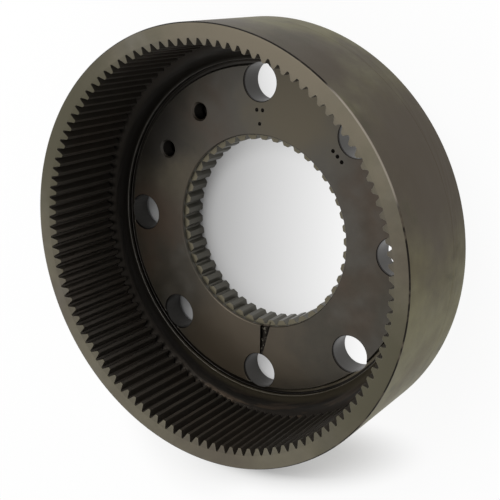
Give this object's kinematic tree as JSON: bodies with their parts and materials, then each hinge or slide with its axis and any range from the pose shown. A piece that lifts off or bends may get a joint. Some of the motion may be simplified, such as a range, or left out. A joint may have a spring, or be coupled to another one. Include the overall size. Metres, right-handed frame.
{
  "type": "internal ring gear",
  "caption": "One-piece steel internal ring gear: a toothed ring with a thick web across its back, a splined centre bore and a circle of large holes.",
  "frame": {"origin": "on the gear axis, in the plane of the hub face that the gear lies on", "axes": "+Z along the gear axis, from the hub face to the open toothed end; +Y through the place in the circle of large holes that has no hole"},
  "size_m": [0.314, 0.314, 0.0942],
  "materials": {
    "blackened_steel": "blackened, satin"
  },
  "bodies": {
    "root": {"ring_gear": "blackened_steel"}
  },
  "joints": []
}
